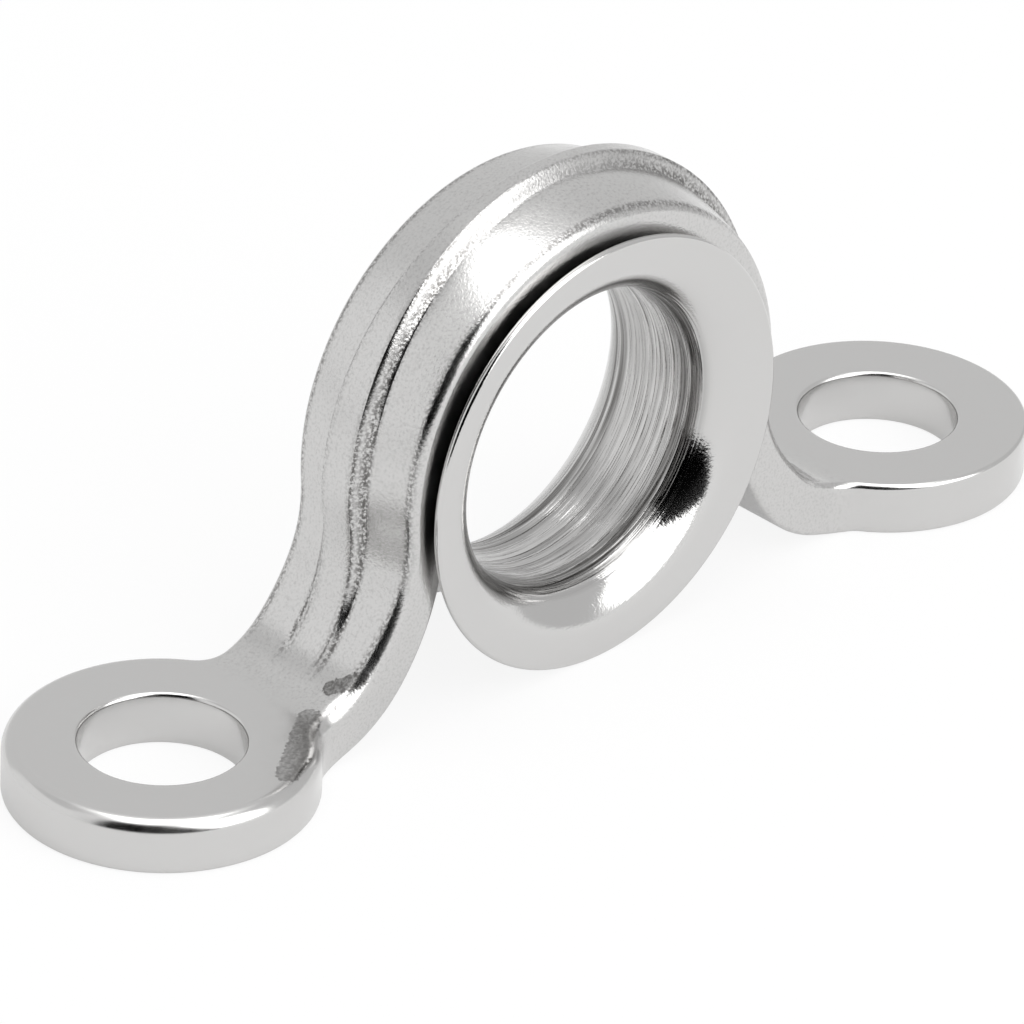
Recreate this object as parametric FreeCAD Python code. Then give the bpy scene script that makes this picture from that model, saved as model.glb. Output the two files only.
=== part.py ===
import FreeCAD, Part
import math
import os

from FreeCAD import Vector

# Eye strap for a boat's deck: a formed strap with two screw tabs, and a flared
# ferrule in its loop that a line runs through. Polished stainless steel.
# Millimetres, +Z up. The underside of the tabs is z = 0, the origin is midway
# between the two screw holes, X runs along the strap and Y along the ferrule.

# Screw tabs
HOLE_PITCH = 32.0         # from screw hole to screw hole
HOLE_DIAMETER = 5.3       # clears a 5 mm screw
HOLE_EDGE_BREAK = 0.15    # broken edge at the top of each hole
TAB_RADIUS = 5.0
NECK_RADIUS = 1.4         # hollow corner between tab and band, seen from above
STRAP_THICKNESS = 1.85

# Band that makes the loop
BAND_WIDTH = 5.2
SHOULDER_DROP = 0.5       # how far the shoulders fall away from the rib to the edges
TOP_EDGE_RADIUS = 0.4     # rolled outer edges of tabs and band
UNDER_EDGE_BREAK = 0.15   # broken edges next to the deck and the ferrule
FOOT_RADIUS = 3.0         # hollow bend on top, where the band leaves the tab
FOOT_REACH = 3.6          # from the loop's outside to the centre of the foot bend
LEG_RADIUS = 6.0          # slow hollow bend between foot and loop
PLAIN_SHARE = 0.85        # share of the foot bend that has no rib

# Rib along the outside of the band
RIB_HEIGHT = 0.55
RIB_CREST_WIDTH = 0.4
RIB_FLANK_WIDTH = 0.6     # one S-shaped flank, seen along the band
RIB_RISE_SHARE = 0.75     # share of the leg's bend where the rib has its full height

# Ferrule
BORE_DIAMETER = 10.2
FERRULE_WALL = 1.3
FLANGE_REACH = 1.05        # how far each flange stands out from the barrel
FLANGE_RIM = 0.32         # thickness of the flange at its rim
FLANGE_LEAN = 0.2        # how far its back leans out, from barrel to rim
RIM_EDGE_BREAK = 0.15     # broken edges of the rim
FACE_LEAN = 0.55          # how far its dished face leans out, from bore to rim
BELL_RADIUS = 1.75        # round that makes the bell mouth, from bore to face

# Room for the ferrule in the loop
FERRULE_CLEARANCE = 0.15  # how much the loop's inner radius is over the barrel's
LOOP_LIFT = 0.33          # how far the loop's axis is above the ferrule's
FLANGE_CLEARANCE = 0.08   # between the band's edge and each flange, at the barrel

# How finely the rib's rise is built, and how closely lengths are compared
RISE_STEPS = 4
TOLERANCE = 0.001

# Worked out from the values above
BORE_RADIUS = BORE_DIAMETER / 2
BARREL_RADIUS = BORE_RADIUS + FERRULE_WALL
FLANGE_RADIUS = BARREL_RADIUS + FLANGE_REACH
LOOP_RADIUS = BARREL_RADIUS + FERRULE_CLEARANCE
LOOP_OUTSIDE = LOOP_RADIUS + STRAP_THICKNESS
FERRULE_Z = FLANGE_RADIUS  # the flanges stand on the deck, like the tabs
LOOP_Z = FERRULE_Z + LOOP_LIFT
BAND_HALF = BAND_WIDTH / 2
HALF_PITCH = HOLE_PITCH / 2
FOOT_X = LOOP_OUTSIDE + FOOT_REACH

# The neck's hollow corner touches the tab's round and the band's edge
NECK_CORNER_Y = BAND_HALF + NECK_RADIUS
NECK_REACH = math.sqrt((TAB_RADIUS + NECK_RADIUS) ** 2 - NECK_CORNER_Y ** 2)
NECK_X = HALF_PITCH - NECK_REACH

Y_AXIS = Vector(0, 1, 0)
LOOP_CENTRE = Vector(0, 0, LOOP_Z)
FERRULE_CENTRE = Vector(0, 0, FERRULE_Z)
TAB_CENTRE = Vector(HALF_PITCH, 0, 0)
FOOT_CENTRE = Vector(FOOT_X, 0, STRAP_THICKNESS + FOOT_RADIUS)


def direction(turn):
    """Unit vector in the XZ plane that leans 'turn' degrees from +Z towards +X."""
    lean = math.radians(turn)
    return Vector(math.sin(lean), 0, math.cos(lean))


def turn_of(vector):
    """Degrees that a vector in the XZ plane leans from +Z towards +X."""
    return math.degrees(math.atan2(vector.x, vector.z))


def leg_centre():
    """Centre of the leg's slow bend, which touches both the foot bend and the loop."""
    to_foot = LEG_RADIUS - FOOT_RADIUS
    to_loop = LEG_RADIUS + LOOP_OUTSIDE
    span = FOOT_CENTRE - LOOP_CENTRE
    reach = span.Length
    along = span * (1 / reach)
    step = (to_loop ** 2 - to_foot ** 2 + reach ** 2) / (2 * reach)
    rise = math.sqrt(to_loop ** 2 - step ** 2)
    across = Vector(-along.z, 0, along.x)
    return LOOP_CENTRE + along * step + across * rise


def band_section(place, outward, relief):
    """Cross-section of the band. 'place' is at the foot of the rib and 'outward' points
    away from the ferrule. 'relief' is 1 where the rib has its full height and the
    shoulders their full drop, and 0 where the band is plain."""
    rib_height = relief * RIB_HEIGHT
    edge_height = -relief * SHOULDER_DROP

    def at(across, height):
        return place + Y_AXIS * across + outward * height

    def line(start, end):
        return Part.makeLine(at(*start), at(*end))

    def rolled_edge(side):
        """Round that carries the shoulder's slope on into the band's side face."""
        turn = (lean + math.pi / 2) / 2
        across = roll_centre + TOP_EDGE_RADIUS * math.sin(turn)
        start = at(side * edge_start, edge_height)
        middle = at(side * across, side_top + TOP_EDGE_RADIUS * math.cos(turn))
        end = at(side * BAND_HALF, side_top)
        return Part.Arc(start, middle, end).toShape()

    def curve(*poles):
        """Smooth curve that starts and ends along the lines between its poles."""
        bezier = Part.BezierCurve()
        bezier.setPoles([at(*pole) for pole in poles])
        return bezier.toShape()

    def flank(side):
        """S-shaped flank from the rib's crest down to the shoulder."""
        middle = side * (crest + shoulder) / 2
        return curve(
            (side * crest, rib_height), (middle, rib_height), (middle, 0), (side * shoulder, 0)
        )

    def fall(side):
        """Shoulder that leaves the rib level and falls away towards the edge."""
        bend = edge_start - run
        return curve((side * shoulder, 0), (side * bend, 0), (side * edge_start, edge_height))

    crest = RIB_CREST_WIDTH / 2
    shoulder = crest + RIB_FLANK_WIDTH
    roll_centre = BAND_HALF - TOP_EDGE_RADIUS
    run = (roll_centre - shoulder) * 2 / 3
    lean = math.atan(-edge_height / run)
    edge_start = roll_centre + TOP_EDGE_RADIUS * math.sin(lean)
    side_top = edge_height - TOP_EDGE_RADIUS * math.cos(lean)
    under = -STRAP_THICKNESS
    under_half = BAND_HALF - UNDER_EDGE_BREAK
    side_foot = under + UNDER_EDGE_BREAK
    edges = [
        line((-crest, rib_height), (crest, rib_height)),
        line((-under_half, under), (under_half, under)),
    ]
    for side in (-1, 1):
        edges += [
            flank(side),
            fall(side),
            rolled_edge(side),
            line((side * BAND_HALF, side_top), (side * BAND_HALF, side_foot)),
            line((side * BAND_HALF, side_foot), (side * under_half, under)),
        ]
    return Part.Wire(Part.__sortEdges__(edges))


def rise(share):
    """Relief at a share of the way to the full section: level at both ends, no kink."""
    return share * share * (3 - 2 * share)


def bent_band(centre, radius, first, last):
    """Stretch of ribbed band bent about 'centre', turning from 'first' to 'last' degrees."""
    outward = direction(first)
    section = Part.Face(band_section(centre + outward * radius, outward, 1))
    return section.revolve(centre, Y_AXIS, last - first)


def rising_band(leg, plain_turn, leg_turn, full_turn):
    """Stretch where the rib rises out of the shoulders: the last of the foot bend, from
    'plain_turn' to 'leg_turn', and the leg's bend about 'leg' up to 'full_turn'."""
    places = []
    run = 0.0
    for centre, radius, first, last in (
        (FOOT_CENTRE, FOOT_RADIUS, plain_turn, leg_turn),
        (leg, LEG_RADIUS, leg_turn, full_turn),
    ):
        step_turn = (last - first) / RISE_STEPS
        for step in range(RISE_STEPS):
            outward = direction(first + step * step_turn)
            places.append((centre - outward * radius, outward, run))
            run += math.radians(step_turn) * radius
    outward = direction(full_turn)
    places.append((leg - outward * LEG_RADIUS, outward, run))
    sections = [
        band_section(place, outward, rise(length / run)) for place, outward, length in places
    ]
    return Part.makeLoft(sections, True, False)


def make_side():
    """The +X side of the strap up to the loop, and the turn at which the loop begins."""
    leg = leg_centre()
    leg_turn = turn_of(leg - FOOT_CENTRE)
    loop_turn = turn_of(leg - LOOP_CENTRE)
    plain_turn = PLAIN_SHARE * leg_turn
    full_turn = leg_turn + RIB_RISE_SHARE * (loop_turn - leg_turn)
    lower = rising_band(leg, plain_turn, leg_turn, full_turn)
    upper = bent_band(leg, -LEG_RADIUS, full_turn, loop_turn)
    return make_tab(plain_turn).multiFuse([lower, upper]), loop_turn


def rings(shape, radius):
    """Circular edges of one radius."""
    return [
        edge for edge in shape.Edges
        if edge.Curve.TypeId == "Part::GeomCircle"
        and abs(edge.Curve.Radius - radius) < TOLERANCE
    ]


def tab_outline():
    """Tab and neck seen from above, up to the band, as a closed wire."""
    corner_share = TAB_RADIUS / (TAB_RADIUS + NECK_RADIUS)
    tip = TAB_CENTRE + Vector(TAB_RADIUS, 0, 0)
    band_x = FOOT_X - STRAP_THICKNESS - FOOT_RADIUS
    edges = [Part.makeLine(Vector(band_x, -BAND_HALF, 0), Vector(band_x, BAND_HALF, 0))]
    for side in (-1, 1):
        corner = Vector(NECK_X, side * NECK_CORNER_Y, 0)
        touch = TAB_CENTRE + (corner - TAB_CENTRE) * corner_share
        end = Vector(NECK_X, side * BAND_HALF, 0)
        hollow = ((touch + end) * 0.5 - corner).normalize() * NECK_RADIUS
        bulge = ((touch + tip) * 0.5 - TAB_CENTRE).normalize() * TAB_RADIUS
        edges += [
            Part.makeLine(Vector(band_x, side * BAND_HALF, 0), end),
            Part.Arc(end, corner + hollow, touch).toShape(),
            Part.Arc(touch, TAB_CENTRE + bulge, tip).toShape(),
        ]
    return Part.Wire(Part.__sortEdges__(edges))


def foot_arc(radius, last):
    """Foot bend at one radius, from the flat tab to where it has turned up 'last' degrees."""
    start, middle, end = [
        FOOT_CENTRE - direction(turn) * radius for turn in (0, last / 2, last)
    ]
    return start, end, Part.Arc(start, middle, end).toShape()


def make_tab(plain_turn):
    """Screw tab on the +X side with its hole, its neck and the plain part of the foot bend."""
    top_start, top_end, top_arc = foot_arc(FOOT_RADIUS, plain_turn)
    under_start, under_end, under_arc = foot_arc(FOOT_RADIUS + STRAP_THICKNESS, plain_turn)
    outer_x = HALF_PITCH + 2 * TAB_RADIUS
    top_outer = Vector(outer_x, 0, STRAP_THICKNESS)
    under_outer = Vector(outer_x, 0, 0)
    side_view = Part.Wire(Part.__sortEdges__([
        top_arc,
        Part.makeLine(top_start, top_outer),
        Part.makeLine(top_outer, under_outer),
        Part.makeLine(under_outer, under_start),
        under_arc,
        Part.makeLine(under_end, top_end),
    ]))
    slab = Part.Face(side_view).extrude(Y_AXIS * (4 * TAB_RADIUS))
    slab.translate(Y_AXIS * (-2 * TAB_RADIUS))
    prism = Part.Face(tab_outline()).extrude(Vector(0, 0, 2 * LOOP_Z))
    tab = slab.common(prism)
    tab = tab.makeFillet(TOP_EDGE_RADIUS, rim_edges(tab, FOOT_RADIUS))
    tab = tab.makeChamfer(UNDER_EDGE_BREAK, rim_edges(tab, FOOT_RADIUS + STRAP_THICKNESS))
    tab = tab.cut(Part.makeCylinder(HOLE_DIAMETER / 2, STRAP_THICKNESS, TAB_CENTRE))
    hole_rim = [
        edge for edge in rings(tab, HOLE_DIAMETER / 2)
        if abs(edge.CenterOfMass.z - STRAP_THICKNESS) < TOLERANCE
    ]
    return tab.makeChamfer(HOLE_EDGE_BREAK, hole_rim)


def rim_edges(tab, radius):
    """Edges round the tab and along its neck, on the face that the foot bends at 'radius'."""
    level = FOOT_CENTRE.z - radius
    found = []
    for edge in tab.Edges:
        middle = edge.valueAt((edge.FirstParameter + edge.LastParameter) / 2)
        from_foot = math.hypot(middle.x - FOOT_CENTRE.x, middle.z - FOOT_CENTRE.z)
        on_face = abs(middle.z - level) < TOLERANCE
        if middle.x < FOOT_X:
            on_face = abs(from_foot - radius) < TOLERANCE
        if on_face and abs(middle.y) > BAND_HALF / 2:
            found.append(edge)
    return found


def make_strap():
    """The whole strap in one piece: a tab and leg at each side, and the loop between."""
    side, loop_turn = make_side()
    other_side = side.mirror(Vector(0, 0, 0), Vector(1, 0, 0))
    loop = bent_band(LOOP_CENTRE, LOOP_OUTSIDE, loop_turn, -loop_turn)
    return loop.multiFuse([side, other_side]).removeSplitter()


def rounded_wire(corners):
    """Closed wire through corners, each given as a point and the radius that rounds it."""
    ends = []
    edges = []
    for index, (point, radius) in enumerate(corners):
        back = (corners[index - 1][0] - point).normalize()
        ahead = (corners[(index + 1) % len(corners)][0] - point).normalize()
        half_angle = back.getAngle(ahead) / 2
        inward = (back + ahead).normalize()
        cut = radius / math.tan(half_angle)
        start = point + back * cut
        end = point + ahead * cut
        if radius:
            middle = point + inward * (radius / math.sin(half_angle) - radius)
            edges.append(Part.Arc(start, middle, end).toShape())
        ends.append((start, end))
    for index, (start, _) in enumerate(ends):
        edges.append(Part.makeLine(ends[index - 1][1], start))
    return Part.Wire(Part.__sortEdges__(edges))


def make_ferrule():
    """Tube with a bell mouth and a flange at both ends, turned about the line's axis."""
    back_y = BAND_HALF + FLANGE_CLEARANCE
    rim_back_y = back_y + FLANGE_LEAN
    face_y = rim_back_y + FLANGE_RIM
    rim = FLANGE_RADIUS - RIM_EDGE_BREAK
    half = [
        (face_y - FACE_LEAN, BORE_RADIUS, BELL_RADIUS),
        (face_y, rim, 0),
        (face_y - RIM_EDGE_BREAK, FLANGE_RADIUS, 0),
        (rim_back_y + RIM_EDGE_BREAK, FLANGE_RADIUS, 0),
        (rim_back_y, rim, 0),
        (back_y, BARREL_RADIUS, 0),
    ]
    other_half = [(-y, radius, rounding) for y, radius, rounding in reversed(half)]
    corners = [
        (FERRULE_CENTRE + Vector(radius, y, 0), rounding)
        for y, radius, rounding in half + other_half
    ]
    return Part.Face(rounded_wire(corners)).revolve(FERRULE_CENTRE, Y_AXIS, 360)


def export(name, shape):
    """Write one piece to parts/NAME.step and say what it measures."""
    box = shape.BoundBox
    print(
        f"{name}: {shape.ShapeType}, {len(shape.Solids)} solid, valid {shape.isValid()}, "
        f"{shape.Volume:.1f} mm3, {box.XLength:.2f} x {box.YLength:.2f} x {box.ZLength:.2f} mm"
    )
    shape.exportStep(f"parts/{name}.step")


os.makedirs("parts", exist_ok=True)
export("strap", make_strap().Solids[0])
export("ferrule", make_ferrule().Solids[0])
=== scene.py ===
# %% [markdown]
# # A deck eye strap with a flared ferrule
#
# The real part is two pieces of polished stainless steel. A stamped strip is pressed
# with a rib and bent into a loop with a round screw tab at each end. A short flared
# tube, the ferrule, sits in the loop and saves the line that runs through it.
#
# This lesson makes both pieces the way a workshop would: a flat blank is drawn first
# and then bent, and a wall profile is spun into a ring. The CAD parts stay in the file
# for their sizes and their collision, and the pieces made here are shown in their place.

# %% Load the CAD frame
import bmesh
import bpy
import itertools
import math
from mathutils import Matrix, Vector


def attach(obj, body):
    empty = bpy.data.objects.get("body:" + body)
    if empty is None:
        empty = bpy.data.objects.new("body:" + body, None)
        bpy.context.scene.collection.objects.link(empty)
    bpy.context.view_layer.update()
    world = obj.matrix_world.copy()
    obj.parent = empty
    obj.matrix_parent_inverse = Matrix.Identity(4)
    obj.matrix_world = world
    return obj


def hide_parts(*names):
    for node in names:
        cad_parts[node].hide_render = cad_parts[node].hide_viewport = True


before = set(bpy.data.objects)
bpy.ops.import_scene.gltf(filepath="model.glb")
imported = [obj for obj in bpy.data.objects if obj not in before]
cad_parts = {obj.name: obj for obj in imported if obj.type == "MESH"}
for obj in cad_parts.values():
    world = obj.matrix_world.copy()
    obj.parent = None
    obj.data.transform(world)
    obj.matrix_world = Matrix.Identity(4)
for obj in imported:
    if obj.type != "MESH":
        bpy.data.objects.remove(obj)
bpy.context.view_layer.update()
scene = bpy.context.scene
print("CAD nodes:", sorted(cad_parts))

# %% [markdown]
# ## Sizes
#
# The drawing is in millimetres and Blender works in metres, so each number is written
# in millimetres and multiplied by MM once, where points are made. The main sizes are the
# CAD model's, so that the pieces land where the CAD pieces are. The shoulders, the rib and
# the rolled edges follow the photo a little more closely. A press never presses quite
# evenly, so some of them differ from side to side or from front to back. Such a size is
# written once for each side, for each face or for each corner, which is a side and a face.

# %% Sizes of the strap and the ferrule
MM = 0.001
LEFT, RIGHT = -1, 1
FRONT, BACK = -1, 1

HOLE_PITCH = 32.0
HOLE_RADIUS = 2.65
TAB_RADIUS = 5.0
NECK_RADIUS = 1.4
THICKNESS = 1.85
BAND_HALF = 2.6
SHOULDER_LEANS = {FRONT: math.radians(17), BACK: math.radians(12)}
SHOULDER_POWER = 1.2
EDGE_RADIUS = 0.4
NECK_ROLLS = {(LEFT, FRONT): 0.55, (RIGHT, FRONT): 0.22, (LEFT, BACK): 0.3, (RIGHT, BACK): 0.2}
TAB_ROLLS = {LEFT: 0.5, RIGHT: 0.15}
TAB_ROLL_PACES = {FRONT: 3.0, BACK: 1.0}
UNDER_RADIUS = 0.18
HOLE_EDGE = 0.15

RIB_HEIGHT = 0.52
RIB_CREST_TOP = 0.2
RIB_CREST_LEG = 0.58
RIB_FLANKS = {FRONT: 0.36, BACK: 0.52}

FERRULE_CLEARANCE = 0.15
FLANGE_CLEARANCE = 0.08
LOOP_LIFT = 0.33

BORE_RADIUS = 5.1
BARREL_RADIUS = 6.4
FLANGE_RADIUS = 7.45
FLANGE_RIM = 0.32
FLANGE_BACK = BAND_HALF + FLANGE_CLEARANCE
FLANGE_LEAN = 0.2
FACE_LEAN = 0.55
BELL_RADIUS = 1.75

LOOP_RADIUS = BARREL_RADIUS + FERRULE_CLEARANCE + THICKNESS
FERRULE_HEIGHT = FLANGE_RADIUS
LOOP_HEIGHT = FERRULE_HEIGHT + LOOP_LIFT
LEG_RADIUS = 6.0
FOOT_RADIUS = 3.0
FOOT_REACH = 3.6
FOOT_X = LOOP_RADIUS + FOOT_REACH
print(f"loop {2 * LOOP_RADIUS:.1f} mm across, holes {HOLE_PITCH:.1f} mm apart")

# %% [markdown]
# ## Where the bends begin and end
#
# Seen from the front the strap is three round bends and a flat: the loop, a slow hollow
# bend down the leg, and a tighter hollow bend into the tab. Each bend runs into the next
# without a kink, which fixes how far each one turns. The centre of the leg's bend lies
# where two circles cross, and the turns are read from the lines between the centres.

# %% Work out the turns
to_foot = LEG_RADIUS - FOOT_RADIUS
to_loop = LEG_RADIUS + LOOP_RADIUS
span_x = FOOT_X
span_z = THICKNESS + FOOT_RADIUS - LOOP_HEIGHT
reach = math.hypot(span_x, span_z)
step = (to_loop ** 2 - to_foot ** 2 + reach ** 2) / (2 * reach)
rise = math.sqrt(to_loop ** 2 - step ** 2)
leg_x = (span_x * step - span_z * rise) / reach
leg_z = (span_z * step + span_x * rise) / reach
loop_turn = math.atan2(leg_x, leg_z)
leg_turn = math.atan2(leg_x - span_x, leg_z - span_z)
loop_length = LOOP_RADIUS * loop_turn
leg_length = LEG_RADIUS * (loop_turn - leg_turn)
foot_length = FOOT_RADIUS * leg_turn
flat_start = loop_length + leg_length + foot_length
tab_centre = flat_start + HOLE_PITCH / 2 - FOOT_X
print(f"loop turns {math.degrees(loop_turn):.1f} degrees, leg and foot {math.degrees(leg_turn):.1f}")
print(f"blank is {2 * (tab_centre + TAB_RADIUS):.1f} mm long before bending")

# %% [markdown]
# ## The camera
#
# A camera that stands close makes near things look large, and one that stands far away
# flattens them. This one stands about a hand's length and a half from a part as long as a
# finger joint, a long lens on a small thing. It is turned a little about its own axis as
# well. Its place is written as a direction and a distance from the point it looks at.

# %% Place the camera
IMAGE_SIDE = 1024
SENSOR = 36.0
FOCAL_PIXELS = 8188.2
CAMERA_DISTANCE = 261.74
camera_turn = math.radians(-45.1)
camera_lift = math.radians(30.05)
camera_roll = math.radians(2.455)
camera_target = Vector((-1.079, 0.0, 4.363)) * MM
backward = Vector((
    math.sin(camera_turn) * math.cos(camera_lift),
    -math.cos(camera_turn) * math.cos(camera_lift),
    math.sin(camera_lift),
))
level_right = Vector((math.cos(camera_turn), math.sin(camera_turn), 0))
level_up = backward.cross(level_right)
right = math.cos(camera_roll) * level_right + math.sin(camera_roll) * level_up
up = -math.sin(camera_roll) * level_right + math.cos(camera_roll) * level_up
camera_data = bpy.data.cameras.new("camera")
camera_data.sensor_width = SENSOR
camera_data.lens = SENSOR * FOCAL_PIXELS / IMAGE_SIDE
camera_data.clip_start = 0.01
camera_data.clip_end = 50.0
camera = bpy.data.objects.new("camera", camera_data)
camera_turned = Matrix((right, up, backward)).transposed().to_4x4()
camera_place = camera_target + backward * CAMERA_DISTANCE * MM
camera.matrix_world = Matrix.Translation(camera_place) @ camera_turned
scene.collection.objects.link(camera)
scene.camera = camera
print("lens", round(camera_data.lens, 1), "mm")

# %% [markdown]
# ## The outline of the blank
#
# The blank's outline is a straight band, a hollow neck and a round tab. It is the same in
# all four quarters, so it is drawn for one. A traced curve could give it too, but lines and
# arcs from the sizes keep it true when a size changes. Each point of the outline comes with
# the direction that leads into the metal, because the rolled edges are set in along it.

# %% Points along one quarter of the outline
BAND_STEP = 0.14
NECK_STEPS = 16
TAB_STEPS = 64
neck_across = BAND_HALF + NECK_RADIUS
neck_along = tab_centre - math.sqrt((TAB_RADIUS + NECK_RADIUS) ** 2 - neck_across ** 2)
touch_angle = math.atan2(neck_across, neck_along - tab_centre)
tab_middle = Vector((tab_centre, 0))


def outline_points():
    """(point, inward direction) along the band and round the neck, then round the tab."""
    band = []
    steps = round(neck_along / BAND_STEP)
    for i in range(steps):
        band.append((Vector((neck_along * i / steps, BAND_HALF)), Vector((0, -1))))
    first = -math.pi / 2
    last = touch_angle - math.pi
    for i in range(NECK_STEPS + 1):
        angle = first + (last - first) * i / NECK_STEPS
        away = Vector((math.cos(angle), math.sin(angle)))
        band.append((Vector((neck_along, neck_across)) + away * NECK_RADIUS, away))
    tab = []
    for i in range(1, TAB_STEPS + 1):
        angle = touch_angle * (1 - i / TAB_STEPS)
        away = Vector((math.cos(angle), math.sin(angle)))
        tab.append((tab_middle + away * TAB_RADIUS, -away))
    return band, tab


band_outline, tab_outline = outline_points()
outline = band_outline + tab_outline
print(len(band_outline), "points along the band,", len(tab_outline), "round the tab")

# %% [markdown]
# ## The rib and the shoulders
#
# The press raises a rib along the middle of the band and lets the shoulders beside it fall
# away towards the edges. The rib has a crest, narrow over the loop and broader down the
# legs, and two S-shaped flanks. Each shoulder is an almost straight slope, steeper at the
# front than at the back. Along the band all of it rises out of the foot with one smooth
# curve, so nothing begins with a kink, because polished metal shows every kink as a line.
# It could be sculpted, but a formula gives the same smooth surface at any spacing of points.

# %% Height of the top face
FOOT_RELIEF_SHARE = 0.85
LEG_RELIEF_SHARE = 0.75
RIB_RUN_OUT = 1.2
RIB_FULL_SHARE = 0.9
relief_start = flat_start - foot_length * FOOT_RELIEF_SHARE
relief_full = loop_length + leg_length * (1 - LEG_RELIEF_SHARE)
rib_start = flat_start - RIB_RUN_OUT
rib_full = loop_length * RIB_FULL_SHARE


def smooth(share):
    """An S-shaped step from 0 to 1 while the share goes from 0 to 1."""
    share = min(max(share, 0.0), 1.0)
    return share * share * (3 - 2 * share)


def blend(first, last, share):
    return first + (last - first) * smooth(share)


def edge_roll(along, corner):
    """Radius of the band's rolled edge, from the loop's to the one at this corner's foot.
    A corner is a (side, face), such as (LEFT, FRONT)."""
    share = (abs(along) - relief_full) / (flat_start - relief_full)
    return blend(EDGE_RADIUS, NECK_ROLLS[corner], share)


def edge_lean(along, corner):
    """Slope of the shoulder where it meets the rolled edge; none on the flat tabs."""
    share = (relief_start - abs(along)) / (relief_start - relief_full)
    return blend(0.0, SHOULDER_LEANS[corner[1]], share)


def land_half(along, corner):
    """Distance from the middle line to where the rolled edge begins."""
    return BAND_HALF - edge_roll(along, corner) * (1 - math.sin(edge_lean(along, corner)))


def crest_half(along):
    """Half the width of the rib's crest, which is broader down the legs."""
    return blend(RIB_CREST_TOP, RIB_CREST_LEG, abs(along) / rib_full)


def top_height(along, across, corner):
    """Height of the top face over the plain band's, in millimetres."""
    height = blend(0.0, RIB_HEIGHT, (rib_start - abs(along)) / (rib_start - rib_full))
    flank = RIB_FLANKS[corner[1]]
    rib = smooth(1 - (abs(across) - crest_half(along)) / flank)
    shoulder_start = crest_half(along) + flank
    width = land_half(along, corner) - shoulder_start
    share = max(0.0, (abs(across) - shoulder_start) / width)
    drop = math.tan(edge_lean(along, corner)) * width / SHOULDER_POWER
    return height * rib - drop * share ** SHOULDER_POWER


for face, name in ((FRONT, "front"), (BACK, "back")):
    shoulder_end = top_height(0, land_half(0, (RIGHT, face)), (RIGHT, face))
    print("crest", RIB_HEIGHT, "mm,", name, "shoulder's end", round(shoulder_end, 2), "mm")

# %% [markdown]
# ## The blank as a mesh
#
# A plate with rounded edges could be made with a Bevel modifier, but a bevel that meets a
# hole, a rib and a hollow corner leaves long thin faces, and those make wavy reflections.
# Here the plate is laid out in neat rows instead: rows across the band, rings round the
# hole, and strips down the rolled edge. Each row has the same number of points as the one
# beside it, so all faces have four corners.

# %% Section down the edge of the plate
ROLL_STEPS = 8
SIDE_SHARES = (0.25, 0.5, 0.75)
UNDER_STEPS = 4


def edge_section(along, corner, radius):
    """(inset, height) over the roll, down the side and under the rim. The roll starts with
    the shoulder's own slope, so there is no crease between the two."""
    section = []
    lean = edge_lean(along, corner)
    side_top = top_height(along, land_half(along, corner), corner) - radius * math.cos(lean)
    for i in range(ROLL_STEPS + 1):
        angle = lean + (math.pi / 2 - lean) * i / ROLL_STEPS
        section.append((radius * (1 - math.sin(angle)), side_top + radius * math.cos(angle)))
    for share in SIDE_SHARES:
        section.append((0.0, side_top - share * (side_top + THICKNESS - UNDER_RADIUS)))
    for i in range(UNDER_STEPS + 1):
        angle = math.pi / 2 * i / UNDER_STEPS
        height = -THICKNESS + UNDER_RADIUS * (1 - math.sin(angle))
        section.append((UNDER_RADIUS * (1 - math.cos(angle)), height))
    return section

# %% Section down the hole
HOLE_EDGE_STEPS = 4
HOLE_SHARES = (0.2, 0.5, 0.8)


def hole_section():
    """(radius, height) from the top, over the hole's broken edge, down to the underside."""
    turns = [math.pi / 2 * i / HOLE_EDGE_STEPS for i in range(HOLE_EDGE_STEPS + 1)]
    section = []
    for turn in turns:
        radius = HOLE_RADIUS + HOLE_EDGE * (1 - math.sin(turn))
        section.append((radius, -HOLE_EDGE * (1 - math.cos(turn))))
    for share in HOLE_SHARES:
        section.append((HOLE_RADIUS, -HOLE_EDGE - share * (THICKNESS - 2 * HOLE_EDGE)))
    for turn in turns:
        height = -THICKNESS + HOLE_EDGE * (1 - math.sin(turn))
        section.append((HOLE_RADIUS + HOLE_EDGE * (1 - math.cos(turn)), height))
    return section


edge_count = len(edge_section(0.0, (RIGHT, BACK), EDGE_RADIUS))
print(edge_count, "points down the edge,", len(hole_section()), "down the hole")

# %% [markdown]
# ### Columns across the band
#
# The flanks of the rib are where the surface turns fastest, so more columns go there. Even
# columns would be simpler, but two or three times as many would be needed.

# %% Columns in half the band
CREST_COLUMNS = 3
FLANK_COLUMNS = 16
LAND_COLUMNS = 14


def column_shares(along, corner):
    """Shares of the way from the middle line to where the rolled edge begins."""
    end = land_half(along, corner)
    crest = crest_half(along)
    foot = crest + RIB_FLANKS[corner[1]]
    stops = [(crest, CREST_COLUMNS), (foot, FLANK_COLUMNS), (end, LAND_COLUMNS)]
    shares = [0.0]
    before = 0.0
    for stop, count in stops:
        shares += [(before + (stop - before) * i / count) / end for i in range(1, count + 1)]
        before = stop
    return shares


print(len(column_shares(0.0, (RIGHT, BACK))), "columns in half the band")

# %% [markdown]
# ### One quarter, then four
#
# A grid is a list of rows, and each row is a list of points. A Mirror modifier would make
# all four quarters alike, but the tool rolled each corner a little differently, so each
# quarter is made with its own rolls. The grids share their border points only by place, so
# at the end the doubles are merged, and then the plate is one closed skin. For that, a
# point on the line between two quarters has to come out the same in both: neither the
# middle line nor the spokes round the hole depend on the roll.

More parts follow.
